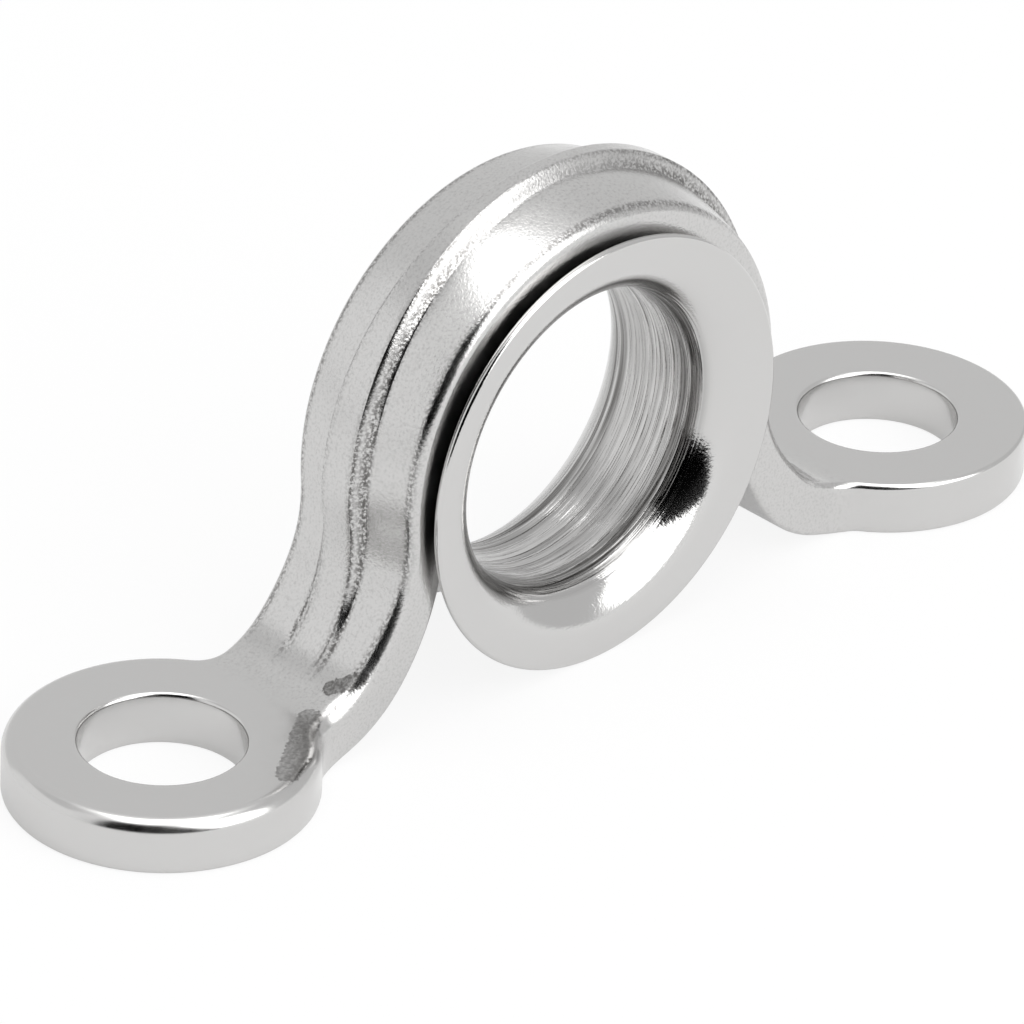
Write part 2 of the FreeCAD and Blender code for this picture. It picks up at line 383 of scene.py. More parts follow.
# %% Grid of the rolled edge
def edge_sections(corner):
    """The edge's section at each point of the outline, with this corner's rolls."""
    side, face = corner
    rolls = [edge_roll(point.x, corner) for point, _ in band_outline]
    for i in range(1, TAB_STEPS + 1):
        share = TAB_ROLL_PACES[face] * i / TAB_STEPS
        rolls.append(blend(NECK_ROLLS[corner], TAB_ROLLS[side], share))
    return [edge_section(point.x, corner, roll) for (point, _), roll in zip(outline, rolls)]


def edge_grid(sections):
    grid = []
    for (point, inward), section in zip(outline, sections):
        row = []
        for inset, height in section:
            place = point + inward * inset
            row.append((place.x, place.y, height))
        grid.append(row)
    return grid

# %% Grids of the flat faces and the hole
RING_STEPS = 14


def band_grid(corner, insets, face_up):
    """Rows across the band, from the middle line to where the edge begins."""
    grid = []
    for (point, inward), inset in zip(band_outline, insets):
        end = point + inward * inset
        middle = point.x + inward.x * UNDER_RADIUS
        row = []
        for share in column_shares(point.x, corner):
            along = middle + (end.x - middle) * share
            across = end.y * share
            height = top_height(along, across, corner) if face_up else -THICKNESS
            row.append((along, across, height))
        grid.append(row)
    return grid


def tab_border(grid, insets):
    """Points round the tab's flat face: across the neck, then round the rim."""
    border = [Vector(place[:2]) for place in grid[-1]]
    for (point, inward), inset in zip(tab_outline, insets[len(band_outline):]):
        border.append(point + inward * inset)
    return border


def tab_grid(border, spokes, height):
    """Rows from the hole's edge out to the border, one for each spoke."""
    hole_edge = hole_section()[0][0]
    grid = []
    for point, spoke in zip(border, spokes):
        near = tab_middle + spoke * hole_edge
        places = [near.lerp(point, i / RING_STEPS) for i in range(RING_STEPS + 1)]
        grid.append([(place.x, place.y, height) for place in places])
    return grid


def hole_grid(spokes):
    section = hole_section()[::-1]
    return [
        [(tab_centre + spoke.x * radius, spoke.y * radius, height) for radius, height in section]
        for spoke in spokes
    ]

# %% Make the blank
MERGE_GAP = 0.002


def turned_over(grid):
    """The same grid with its rows turned round, so that its faces look the other way."""
    return [row[::-1] for row in grid]


def quarter_grids(corner):
    """Grids of (along, across, height) for one quarter, drawn with along and across above
    zero."""
    sections = edge_sections(corner)
    top_insets = [section[0][0] for section in sections]
    under_insets = [section[-1][0] for section in sections]
    top = band_grid(corner, top_insets, True)
    under = band_grid(corner, under_insets, False)
    under_border = tab_border(under, under_insets)
    spokes = [(point - tab_middle).normalized() for point in under_border]
    return [
        edge_grid(sections),
        turned_over(top),
        tab_grid(tab_border(top, top_insets), spokes, 0.0),
        under,
        turned_over(tab_grid(under_border, spokes, -THICKNESS)),
        hole_grid(spokes),
    ]


def add_grid(bm, grid, side, face):
    """Four-cornered faces between the rows of a grid, in the quarter at this corner."""
    points = [
        [bm.verts.new((side * along * MM, face * across * MM, height * MM)) for along, across, height in row]
        for row in grid
    ]
    for row, next_row in zip(points, points[1:]):
        for j in range(len(row) - 1):
            square = [row[j], row[j + 1], next_row[j + 1], next_row[j]]
            if side * face < 0:
                square.reverse()
            bm.faces.new(square)


def count_open_edges(bm):
    return sum(1 for edge in bm.edges if len(edge.link_faces) != 2)


def make_blank():
    mesh = bpy.data.meshes.new("strap_blank")
    bm = bmesh.new()
    for side, face in itertools.product((RIGHT, LEFT), (BACK, FRONT)):
        for grid in quarter_grids((side, face)):
            add_grid(bm, grid, side, face)
    bmesh.ops.remove_doubles(bm, verts=bm.verts, dist=MERGE_GAP * MM)
    bmesh.ops.recalc_face_normals(bm, faces=bm.faces)
    bm.to_mesh(mesh)
    print("blank:", len(mesh.polygons), "faces,", count_open_edges(bm), "open edges")
    bm.free()
    return mesh


blank_mesh = make_blank()

# %% [markdown]
# ### Where the metal was worked
#
# The bends keep a grain that the flat tabs don't have. The colour is also painted darker in
# lines beside the rib, along the crest and along the shoulder's edge: painted shade in the
# groove and painted dark reflections along the crest and the edge. An image could hold this,
# but it would need a UV map. The blank is still flat here, so how far along and across a
# point lies says it all. It is written on each point as two attributes, which stay with the
# points through the bend, and the steel reads them.

# %% Write the attributes
# Lines where the colour is painted darker: painted shade in the groove and painted dark reflections along
# the crest and the shoulder's edge.
LINE_HALF = {"groove": 0.2, "crest": 0.1, "edge": 0.2}
LINE_DEPTH = {"rib": 0.75, "edge": 0.55}
GROOVE_PLACE = {FRONT: 0.75, BACK: 0.5}
CREST_PLACE = 0.06
CREST_SHARE = {FRONT: 1.0, BACK: 0.6}
EDGE_PLACE = 0.05
LINE_FADE = 1.5
TOP_SHARE = 0.25
WORKED_PAST_BEND = 0.4
WORKED_FADE = 1.6


def line_share(distance, name):
    """1 on a line along the band, fading to 0 at its half width."""
    return smooth(1 - abs(distance) / LINE_HALF[name])


def shade_lines_at(along, across):
    """How much painted shade and painted dark reflection lies beside the rib, along the crest and along the
    shoulder's edge, from 0 to 1.
    """
    face = FRONT if across < 0 else BACK
    corner = (LEFT if along < 0 else RIGHT, face)
    place = abs(across) - crest_half(along)
    groove = line_share(place - GROOVE_PLACE[face] * RIB_FLANKS[face], "groove")
    crest = line_share(place - CREST_PLACE, "crest") * CREST_SHARE[face]
    edge = line_share(abs(across) - land_half(along, corner) - EDGE_PLACE, "edge")
    run_out = smooth((rib_start - abs(along)) / LINE_FADE)
    top_share = blend(TOP_SHARE, 1.0, abs(along) / (loop_length / 2))
    return run_out * max(LINE_DEPTH["rib"] * top_share * max(groove, crest), LINE_DEPTH["edge"] * edge)


def mark_metal(mesh):
    """Write how far the metal was worked, nothing on the flat tabs and full on the bends, and
    where the colour is painted darker as shade and dark reflections."""
    worked = mesh.attributes.new("worked", "FLOAT", "POINT")
    shade_lines = mesh.attributes.new("shade_lines", "FLOAT", "POINT")
    for vertex in mesh.vertices:
        along, across, height = (number / MM for number in vertex.co)
        bent = (flat_start + WORKED_PAST_BEND - abs(along)) / WORKED_FADE
        worked.data[vertex.index].value = smooth(bent)
        on_top = height > -THICKNESS / 2
        # Painted shade and painted dark reflections, on the top face only.
        shade_lines.data[vertex.index].value = shade_lines_at(along, across) if on_top else 0.0


mark_metal(blank_mesh)
print("attributes:", [name for name in blank_mesh.attributes.keys() if name in ("worked", "shade_lines")])

# %% [markdown]
# ## Bend the blank with Geometry Nodes
#
# Bending follows a rule: a point that lies some length along the blank is carried round
# each bend it has passed. A Curve modifier could carry it too, but round a curve of short
# pieces. Here one node group does one bend and says where the bend ends, and the next
# group takes over from there, like three strokes of a press brake. It is worked out with
# sines, so the bent surface is exact.

# %% Helpers for node trees
def add_input(tree, name, kind, default=None):
    socket = tree.interface.new_socket(name=name, in_out="INPUT", socket_type=kind)
    if default is not None:
        socket.default_value = default


def plug(tree, value, socket):
    """Link a socket, or write a plain value into one."""
    if isinstance(value, bpy.types.NodeSocket):
        tree.links.new(value, socket)
    else:
        socket.default_value = value


def calc(tree, operation, *values):
    """One Math node; returns its result."""
    node = tree.nodes.new("ShaderNodeMath")
    node.operation = operation
    for index, value in enumerate(values):
        plug(tree, value, node.inputs[index])
    return node.outputs[0]


def hold(tree, value, high):
    """The value, held between 0 and high."""
    return calc(tree, "MINIMUM", calc(tree, "MAXIMUM", value, 0.0), high)


def split(tree, vector):
    """The x, y and z of a vector."""
    node = tree.nodes.new("ShaderNodeSeparateXYZ")
    tree.links.new(vector, node.inputs[0])
    return node.outputs


def join(tree, *parts):
    """A vector from its x, y and z."""
    node = tree.nodes.new("ShaderNodeCombineXYZ")
    for part, socket in zip(parts, node.inputs):
        tree.links.new(part, socket)
    return node.outputs[0]


def start_group(name, kind, vectors, numbers, outputs):
    """A node group with named inputs and outputs. Each number comes with its default."""
    tree = bpy.data.node_groups.new(name, kind)
    for vector in vectors:
        add_input(tree, vector, "NodeSocketVector")
    for number, default in numbers.items():
        add_input(tree, number, "NodeSocketFloat", default)
    for output in outputs:
        tree.interface.new_socket(name=output, in_out="OUTPUT", socket_type="NodeSocketFloat")
    return tree, tree.nodes.new("NodeGroupInput").outputs, tree.nodes.new("NodeGroupOutput").inputs

# %% One bend as a node group
def make_bend_group():
    numbers = dict.fromkeys(("Along", "Start", "Radius", "Turn Before", "Turn After"), 0.0)
    outputs = ("End", "Turn Added", "Shift X", "Shift Z")
    tree, given, result = start_group("One bend", "GeometryNodeTree", (), numbers, outputs)
    span = calc(tree, "SUBTRACT", given["Turn After"], given["Turn Before"])
    length = calc(tree, "MULTIPLY", given["Radius"], calc(tree, "ABSOLUTE", span))
    passed = hold(tree, calc(tree, "SUBTRACT", given["Along"], given["Start"]), length)
    radius = calc(tree, "MULTIPLY", given["Radius"], calc(tree, "SIGN", span))
    added = calc(tree, "DIVIDE", passed, radius)
    turn = calc(tree, "ADD", given["Turn Before"], added)
    for wave, name in (("SINE", "Shift X"), ("COSINE", "Shift Z")):
        after = calc(tree, wave, turn)
        before = calc(tree, wave, given["Turn Before"])
        shift = calc(tree, "MULTIPLY", radius, calc(tree, "SUBTRACT", after, before))
        tree.links.new(shift, result[name])
    tree.links.new(calc(tree, "ADD", given["Start"], length), result["End"])
    tree.links.new(added, result["Turn Added"])
    return tree


bend_group = make_bend_group()
print("One bend has", len(bend_group.nodes), "nodes")

# %% Start and end of every tree
def start_tree(name, sizes):
    """A tree that takes a mesh, named sizes and a material. Returns it with its inputs and
    with the x, y and z of each point."""
    tree = bpy.data.node_groups.new(name, "GeometryNodeTree")
    add_input(tree, "Geometry", "NodeSocketGeometry")
    for size in sizes:
        add_input(tree, size, "NodeSocketFloat")
    add_input(tree, "Material", "NodeSocketMaterial")
    tree.interface.new_socket(name="Geometry", in_out="OUTPUT", socket_type="NodeSocketGeometry")
    given = tree.nodes.new("NodeGroupInput").outputs
    place = split(tree, tree.nodes.new("GeometryNodeInputPosition").outputs[0])
    return tree, given, place


def move_points(tree, geometry, place):
    move = tree.nodes.new("GeometryNodeSetPosition")
    tree.links.new(geometry, move.inputs["Geometry"])
    tree.links.new(place, move.inputs["Position"])
    return move.outputs["Geometry"]


def finish_tree(tree, geometry, material):
    """Realize Instances and Set Material, as the last two steps of every tree."""
    realize = tree.nodes.new("GeometryNodeRealizeInstances")
    paint = tree.nodes.new("GeometryNodeSetMaterial")
    result = tree.nodes.new("NodeGroupOutput")
    tree.links.new(geometry, realize.inputs[0])
    tree.links.new(realize.outputs[0], paint.inputs["Geometry"])
    tree.links.new(material, paint.inputs["Material"])
    tree.links.new(paint.outputs[0], result.inputs[0])

# %% The three bends in a row
def make_bending_tree():
    sizes = ("Loop Radius", "Leg Radius", "Foot Radius", "Loop Turn", "Leg Turn", "Top Height")
    tree, given, place = start_tree("Bend the blank", sizes)
    along = calc(tree, "ABSOLUTE", place[0])
    side = calc(tree, "SIGN", place[0])
    start, turn, x, z = 0.0, 0.0, 0.0, given["Top Height"]
    for radius, before, after in (
        (given["Loop Radius"], 0.0, given["Loop Turn"]),
        (given["Leg Radius"], given["Loop Turn"], given["Leg Turn"]),
        (given["Foot Radius"], given["Leg Turn"], 0.0),
    ):
        bend = tree.nodes.new("GeometryNodeGroup")
        bend.node_tree = bend_group
        for name, value in (
            ("Along", along), ("Start", start), ("Radius", radius),
            ("Turn Before", before), ("Turn After", after),
        ):
            plug(tree, value, bend.inputs[name])
        start = bend.outputs["End"]
        turn = calc(tree, "ADD", bend.outputs["Turn Added"], turn)
        x = calc(tree, "ADD", bend.outputs["Shift X"], x)
        z = calc(tree, "ADD", bend.outputs["Shift Z"], z)
    x = calc(tree, "ADD", x, calc(tree, "MAXIMUM", calc(tree, "SUBTRACT", along, start), 0.0))
    x = calc(tree, "ADD", x, calc(tree, "MULTIPLY", place[2], calc(tree, "SINE", turn)))
    z = calc(tree, "ADD", z, calc(tree, "MULTIPLY", place[2], calc(tree, "COSINE", turn)))
    bent = join(tree, calc(tree, "MULTIPLY", x, side), place[1], z)
    finish_tree(tree, move_points(tree, given["Geometry"], bent), given["Material"])
    return tree


bending_tree = make_bending_tree()
print("inputs:", [item.name for item in bending_tree.interface.items_tree if item.in_out == "INPUT"])

# %% [markdown]
# ## Steel
#
# Polished stainless steel has hardly a colour of its own. What makes it look like steel
# is how sharply it mirrors what stands round it, and that differs from place to place:
# the flat tabs are even, the bends have a fine crinkled grain where the strip was drawn
# over the tool, and the bore has fine turned lines. A picture could be wrapped round the
# part, but a pattern worked out from the place needs no seams. Three shader groups make the
# grain, the press marks and the lines, and each steel takes what it needs in its own
# strength.

# %% Helpers for shader groups
def add_noise(tree, vector, scale, detail, roughness=0.6):
    noise = tree.nodes.new("ShaderNodeTexNoise")
    noise.inputs["Detail"].default_value = detail
    noise.inputs["Roughness"].default_value = roughness
    tree.links.new(vector, noise.inputs["Vector"])
    plug(tree, scale, noise.inputs["Scale"])
    return noise.outputs


def add_ramp(tree, value, low, high, start, end):
    """Value from start to end while the input goes from low to high, held outside."""
    node = tree.nodes.new("ShaderNodeMapRange")
    for name, number in (("From Min", low), ("From Max", high), ("To Min", start), ("To Max", end)):
        node.inputs[name].default_value = number
    tree.links.new(value, node.inputs["Value"])
    return node.outputs[0]


def vector_math(tree, operation, *values):
    """One Vector Math node; returns its result."""
    node = tree.nodes.new("ShaderNodeVectorMath")
    node.operation = operation
    for index, value in enumerate(values):
        plug(tree, value, node.inputs[index])
    return node.outputs["Value" if operation in ("DOT_PRODUCT", "LENGTH") else "Vector"]

# %% Shader group: drawn grain
CRACK_WARP = 0.1
RIDGE_SHARE = 0.2


def make_grain_group():
    numbers = {"Grain Size": 12000.0, "Crack Size": 5000.0, "Amount": 1.0}
    outputs = ("Height", "Specks", "Patches")
    tree, given, result = start_group("Drawn grain", "ShaderNodeTree", ("Vector",), numbers, outputs)
    fine = add_noise(tree, given["Vector"], given["Grain Size"], 3.0)
    broad = add_noise(tree, given["Vector"], calc(tree, "MULTIPLY", given["Grain Size"], 0.1), 2.0)
    warp = Vector((CRACK_WARP, CRACK_WARP, CRACK_WARP)) * MM
    warped = vector_math(tree, "MULTIPLY_ADD", fine["Color"], warp, given["Vector"])
    cracks = tree.nodes.new("ShaderNodeTexVoronoi")
    cracks.feature = "DISTANCE_TO_EDGE"
    tree.links.new(warped, cracks.inputs["Vector"])
    tree.links.new(given["Crack Size"], cracks.inputs["Scale"])
    ridge = calc(tree, "MINIMUM", calc(tree, "MULTIPLY", cracks.outputs["Distance"], 6.0), 1.0)
    height = calc(tree, "ADD", fine["Fac"], calc(tree, "MULTIPLY", ridge, RIDGE_SHARE))
    tree.links.new(calc(tree, "MULTIPLY", height, given["Amount"]), result["Height"])
    tree.links.new(fine["Fac"], result["Specks"])
    tree.links.new(broad["Fac"], result["Patches"])
    return tree


grain_group = make_grain_group()
print("Drawn grain has", len(grain_group.nodes), "nodes")

# %% [markdown]
# ### Dark strokes: painted reflections
#
# At the left neck the colour is painted darker in a flat grey patch and a fine line beside
# it. These are painted dark reflections of the concave neck. The right neck has a small dark
# stroke too. They could be painted in an image, but a stroke is only the points near a
# straight line, so a few nodes measure the distance to the line instead.

# %% Shader group: dark stroke
MARK_EDGE = 0.04
MARK_GRAIN = 9000.0


def make_stroke_group():
    """Inside is up to 1 within the half width of the stroke from Start to End, and 0 beyond."""
    numbers = {"Half Width": 0.3 * MM, "Wobble": 0.1 * MM}
    vectors = ("Vector", "Start", "End")
    tree, given, result = start_group("Dark stroke", "ShaderNodeTree", vectors, numbers, ("Inside",))
    stroke = vector_math(tree, "SUBTRACT", given["End"], given["Start"])
    reach = vector_math(tree, "SUBTRACT", given["Vector"], given["Start"])
    along = vector_math(tree, "DOT_PRODUCT", reach, stroke)
    length = vector_math(tree, "DOT_PRODUCT", stroke, stroke)
    share = hold(tree, calc(tree, "DIVIDE", along, length), 1.0)
    foot = tree.nodes.new("ShaderNodeVectorMath")
    foot.operation = "SCALE"
    tree.links.new(stroke, foot.inputs[0])
    tree.links.new(share, foot.inputs["Scale"])
    distance = vector_math(tree, "LENGTH", vector_math(tree, "SUBTRACT", reach, foot.outputs["Vector"]))
    shake = add_noise(tree, given["Vector"], MARK_GRAIN, 4.0)["Fac"]
    shift = calc(tree, "MULTIPLY", calc(tree, "SUBTRACT", shake, 0.5), given["Wobble"])
    depth = calc(tree, "SUBTRACT", given["Half Width"], calc(tree, "ADD", distance, shift))
    inside = hold(tree, calc(tree, "DIVIDE", depth, MARK_EDGE * MM), 1.0)
    hatch = add_ramp(tree, shake, 0.35, 0.65, 1.0, 0.45)
    tree.links.new(calc(tree, "MULTIPLY", inside, hatch), result["Inside"])
    return tree


stroke_group = make_stroke_group()
print("One press mark has", len(stroke_group.nodes), "nodes")

# %% [markdown]
# ### Turned lines
#
# Lines that run round a bore are the same at every angle and change quickly along the
# axis. So the noise reads the angle weakly and the axis strongly.

# %% Shader group: turned lines
ANGLE_SHARE = 0.6


def make_turned_group():
    numbers = {"Lines": 2500.0}
    tree, given, result = start_group("Turned lines", "ShaderNodeTree", ("Vector",), numbers, ("Height",))
    place = split(tree, given["Vector"])
    angle = calc(tree, "ARCTAN2", place[0], calc(tree, "SUBTRACT", place[2], FERRULE_HEIGHT * MM))
    across = calc(tree, "MULTIPLY", calc(tree, "SINE", angle), ANGLE_SHARE)
    axis = calc(tree, "MULTIPLY", place[1], given["Lines"])
    upward = calc(tree, "MULTIPLY", calc(tree, "COSINE", angle), ANGLE_SHARE)
    noise = add_noise(tree, join(tree, across, axis, upward), 1.0, 3.0, roughness=0.5)
    tree.links.new(noise["Fac"], result["Height"])
    return tree


turned_group = make_turned_group()
print("Turned lines has", len(turned_group.nodes), "nodes")

# %% [markdown]
# ### Two steels
#
# Both steels are a bright metal in a Principled BSDF. A Bump node with a real depth in
# millimetres tilts the mirror a little, as the real grain does. Where shade and dark
# reflections would fall, the colour is painted darker: that is painted shade.

# %% Helpers for the steels
BRIGHT_STEEL = (0.615, 0.61, 0.604, 1)
# The dark steel stands for painted shade and painted dark reflections, and on the bends for a little random
# mottle.
SHADE_AND_MOTTLE_STEEL = (0.05, 0.046, 0.042, 1)


def start_material(name):
    """A metal with its tree, its shader and the place on the part."""
    material = bpy.data.materials.new(name)
    material.use_nodes = True
    tree = material.node_tree
    shader = tree.nodes["Principled BSDF"]
    shader.inputs["Metallic"].default_value = 1.0
    return material, tree, shader, tree.nodes.new("ShaderNodeTexCoord").outputs["Object"]


def add_group(tree, group, **values):
    node = tree.nodes.new("ShaderNodeGroup")
    node.node_tree = group
    for name, value in values.items():
        plug(tree, value, node.inputs[name.replace("_", " ")])
    return node.outputs


def read_attribute(tree, name):
    node = tree.nodes.new("ShaderNodeAttribute")
    node.attribute_name = name
    return node.outputs["Fac"]


def add_bump(tree, shader, height, distance):
    """Tilts the mirror as a relief of this height would; the distance is in millimetres."""
    bump = tree.nodes.new("ShaderNodeBump")
    bump.inputs["Strength"].default_value = 1.0
    bump.inputs["Distance"].default_value = distance * MM
    tree.links.new(height, bump.inputs["Height"])
    tree.links.new(bump.outputs["Normal"], shader.inputs["Normal"])


def paint_steel(tree, shader, shade_and_mottle):
    """Bright steel where the darkening is 0, and dark steel where it is 1. The darkening is painted shade
    and painted dark reflection, with a little random mottle on the bends.
    """
    mix = tree.nodes.new("ShaderNodeMix")
    mix.data_type = "RGBA"
    mix.inputs["A"].default_value = BRIGHT_STEEL
    mix.inputs["B"].default_value = SHADE_AND_MOTTLE_STEEL
    tree.links.new(shade_and_mottle, mix.inputs["Factor"])
    tree.links.new(mix.outputs["Result"], shader.inputs["Base Color"])

# %% Places of the dark strokes
# Each stroke is its start and end, its half width and how dark it is. The first three are
# a flat grey patch and a fine line at the left neck, and the next lies above them. All four
# are painted dark reflections. The last is a dark stroke at the right neck.
DARK_STROKES = (
    ((-11.7, -2.05, 1.85), (-14.5, -4.1, 1.85), 0.4, 0.62),
    ((-10.9, -2.35, 2.0), (-13.0, -3.72, 1.85), 0.07, 0.9),
    ((-13.0, -3.72, 1.85), (-14.2, -4.25, 1.85), 0.07, 0.9),
    ((-10.45, -1.7, 2.25), (-9.9, -2.4, 2.7), 0.3, 0.85),
    ((10.95, -0.8, 1.95), (10.6, -2.1, 2.05), 0.2, 0.6),
)
MARK_WOBBLE = 0.3
print(len(DARK_STROKES), "dark strokes")

# %% Steel of the strap
STRAP_GRAIN_DEPTH = 0.0055
STRAP_ROUGHNESS = (0.15, 0.24)
SPECK_LEVEL = 0.62


def make_strap_steel():
    material, tree, shader, place = start_material("drawn_steel")
    worked = read_attribute(tree, "worked")
    shade_lines = read_attribute(tree, "shade_lines")
    grain = add_group(tree, grain_group, Vector=place, Grain_Size=10000.0, Crack_Size=6500.0, Amount=worked)
    add_bump(tree, shader, grain["Height"], STRAP_GRAIN_DEPTH)
    tree.links.new(add_ramp(tree, grain["Patches"], 0.3, 0.7, *STRAP_ROUGHNESS), shader.inputs["Roughness"])
    specks = calc(tree, "SUBTRACT", SPECK_LEVEL, grain["Specks"])
    # Painted shade and painted dark reflections: darker in the lines beside the rib, along the crest and
    # along the shoulder's edge.
    painted_shade = calc(tree, "MULTIPLY", shade_lines, add_ramp(tree, specks, 0.0, 0.16, 0.0, 1.0))
    mottle = calc(tree, "MULTIPLY", worked, add_ramp(tree, specks, 0.1, 0.3, 0.0, 0.16))
    shade_and_mottle = calc(tree, "ADD", painted_shade, mottle)
    # The dark strokes darken the colour. Those at the left neck are painted dark reflections.
    for start, end, half_width, depth in DARK_STROKES:
        mark = add_group(
            tree, stroke_group, Vector=place, Start=Vector(start) * MM, End=Vector(end) * MM,
            Half_Width=half_width * MM, Wobble=MARK_WOBBLE * MM,
        )
        shade_and_mottle = calc(tree, "MAXIMUM", shade_and_mottle, calc(tree, "MULTIPLY", mark["Inside"], depth))
    paint_steel(tree, shader, shade_and_mottle)
    return material


strap_steel = make_strap_steel()
print("strap:", strap_steel.name)

# %% Steel of the ferrule
TURNED_DEPTH = 0.12
FERRULE_GRAIN_SHARE = 0.028
FERRULE_ROUGHNESS = 0.11
STREAK_LEVEL = 0.66


def make_ferrule_steel():
    material, tree, shader, place = start_material("turned_steel")
    bore = read_attribute(tree, "bore")
    throat_shade = read_attribute(tree, "throat_shade")
    lines = add_group(tree, turned_group, Vector=place, Lines=5000.0)
    grain = add_group(tree, grain_group, Vector=place, Grain_Size=9000.0, Crack_Size=4000.0, Amount=1.0)
    height = calc(tree, "MULTIPLY", lines["Height"], bore)
    height = calc(tree, "ADD", height, calc(tree, "MULTIPLY", grain["Height"], FERRULE_GRAIN_SHARE))
    add_bump(tree, shader, height, TURNED_DEPTH)
    shader.inputs["Roughness"].default_value = FERRULE_ROUGHNESS
    streaks = calc(tree, "SUBTRACT", STREAK_LEVEL, lines["Height"])
    # Painted dark reflection: the throat is darkened where it would mirror the shaded floor.
    painted_shade = calc(tree, "MULTIPLY", throat_shade, add_ramp(tree, streaks, 0.0, 0.2, 0.0, 0.9))
    # Painted shade: the turned lines in the bore are darker, as if shade lay in their grooves.
    line_shade = calc(tree, "MULTIPLY", bore, add_ramp(tree, streaks, 0.12, 0.32, 0.0, 0.4))
    paint_steel(tree, shader, calc(tree, "MAXIMUM", painted_shade, line_shade))
    return material


ferrule_steel = make_ferrule_steel()
print("ferrule:", ferrule_steel.name)

# %% [markdown]
# ## Run the trees and keep plain meshes
#
# A modifier's inputs are set through the identifier of each socket, before anything looks
# at the object. Then the result is read out as a plain mesh, and the modifier goes. A live
# modifier would do for a picture, but other programs can only read a plain mesh.

# %% From a tree to a plain piece
def run_tree(name, mesh, tree, values):
    source = bpy.data.objects.new(name + "_source", mesh)
    scene.collection.objects.link(source)
    modifier = source.modifiers.new(tree.name, "NODES")
    modifier.node_group = tree
    for item in tree.interface.items_tree:
        if item.in_out == "INPUT" and item.name in values:
            modifier[item.identifier] = values[item.name]
    evaluated = source.evaluated_get(bpy.context.evaluated_depsgraph_get())
    result = bpy.data.meshes.new_from_object(evaluated)
    source.modifiers.remove(modifier)
    bpy.data.objects.remove(source)
    result.name = name
    for polygon in result.polygons:
        polygon.use_smooth = True
    piece = bpy.data.objects.new(name, result)
    scene.collection.objects.link(piece)
    low = [round(min(v.co[i] for v in result.vertices) / MM, 3) for i in range(3)]
    high = [round(max(v.co[i] for v in result.vertices) / MM, 3) for i in range(3)]
    print(name, len(result.polygons), "faces, from", low, "to", high, "mm")
    return piece

# %% Bend the strap
strap = run_tree("strap_formed", blank_mesh, bending_tree, {
    "Loop Radius": LOOP_RADIUS * MM,
    "Leg Radius": LEG_RADIUS * MM,
    "Foot Radius": FOOT_RADIUS * MM,
    "Loop Turn": loop_turn,
    "Leg Turn": leg_turn,
    "Top Height": (LOOP_HEIGHT + LOOP_RADIUS) * MM,
    "Material": strap_steel,
})

# %% [markdown]
# ## The ferrule's wall
#
# The ferrule is the same all the way round, so only its wall is drawn: straight bore,
# bell mouth, dished flange face, rim and back, and the barrel outside. A Bevel modifier
# could round the corners too, but each has its own radius. So corners are given as points
# with a radius, and a small routine lays a round in each. Half the wall is drawn, and the
# other half is its mirror image.

# %% A round in each corner
def rounded(corners, steps):
    """Points along straight lines and rounds; corners are (point, radius)."""
    points = []
    for index in range(1, len(corners) - 1):
        point, radius = corners[index]
        to_last = (corners[index - 1][0] - point).normalized()
        to_next = (corners[index + 1][0] - point).normalized()
        half_angle = to_last.angle(to_next) / 2
        inward = (to_last + to_next).normalized()
        centre = point + inward * (radius / math.sin(half_angle))
        first = point + to_last * (radius / math.tan(half_angle)) - centre
        last = point + to_next * (radius / math.tan(half_angle)) - centre
        for i in range(steps + 1):
            sweep = first.angle(last)
            part_way = sweep * i / steps
            spoke = first * math.sin(sweep - part_way) + last * math.sin(part_way)
            points.append(centre + spoke / math.sin(sweep))
    return points

# %% Draw the wall
ROUND_STEPS = 16
WALL_STEP = 0.2
FACE_ROUND = 0.12
RIM_ROUND = 0.2
GROOVE_ROUND = 0.1
BORE_STOPS = (0.0, 0.4, 0.8, 1.2)
BARREL_STOPS = (2.2, 1.8, 1.4, 1.0, 0.5, 0.0)
rim_back = FLANGE_BACK + FLANGE_LEAN
face_y = rim_back + FLANGE_RIM
wall_corners = [
    (Vector((0.0, BORE_RADIUS)), 0),
    (Vector((face_y - FACE_LEAN, BORE_RADIUS)), BELL_RADIUS),
    (Vector((face_y, FLANGE_RADIUS)), FACE_ROUND),
    (Vector((rim_back, FLANGE_RADIUS)), RIM_ROUND),
    (Vector((FLANGE_BACK, BARREL_RADIUS)), GROOVE_ROUND),
    (Vector((0.0, BARREL_RADIUS)), 0),
]


def wall_profile():
    """Points round the wall's section, none much more than a wall step from the next."""
    rounds = rounded(wall_corners, ROUND_STEPS)
    half = [Vector((y, BORE_RADIUS)) for y in BORE_STOPS]
    for point, after in zip(rounds, rounds[1:]):
        gap = after - point
        pieces = int(gap.length / WALL_STEP) + 1
        half += [point + gap * (i / pieces) for i in range(pieces)]
    half.append(rounds[-1])
    half += [Vector((y, BARREL_RADIUS)) for y in BARREL_STOPS]
    return half + [Vector((-point.x, point.y)) for point in half[-2:0:-1]]


profile = wall_profile()
print(len(profile), "points round the wall's section")

# %% [markdown]
# ## Spin the wall into a ring
#
# A Screw modifier could spin the section too. Here the wall is laid out first as a flat
# strip, one row of points for each small step round the ring, because a flat strip is easy
# to mark: where the bore is, which keeps its turned lines with painted shade in them, and
# where the throat lies, which is painted darker as a dark reflection of the shaded floor. A
# tree then rolls the strip up about the bore's axis, with the height of the axis as its named
# input, and merges the first row with the last.

# %% The wall as a flat strip
RING_ROWS = 240
BORE_PAST = 0.35
BORE_FADE = 0.3
THROAT_DEPTH = 1.6
THROAT_HALF = 0.8


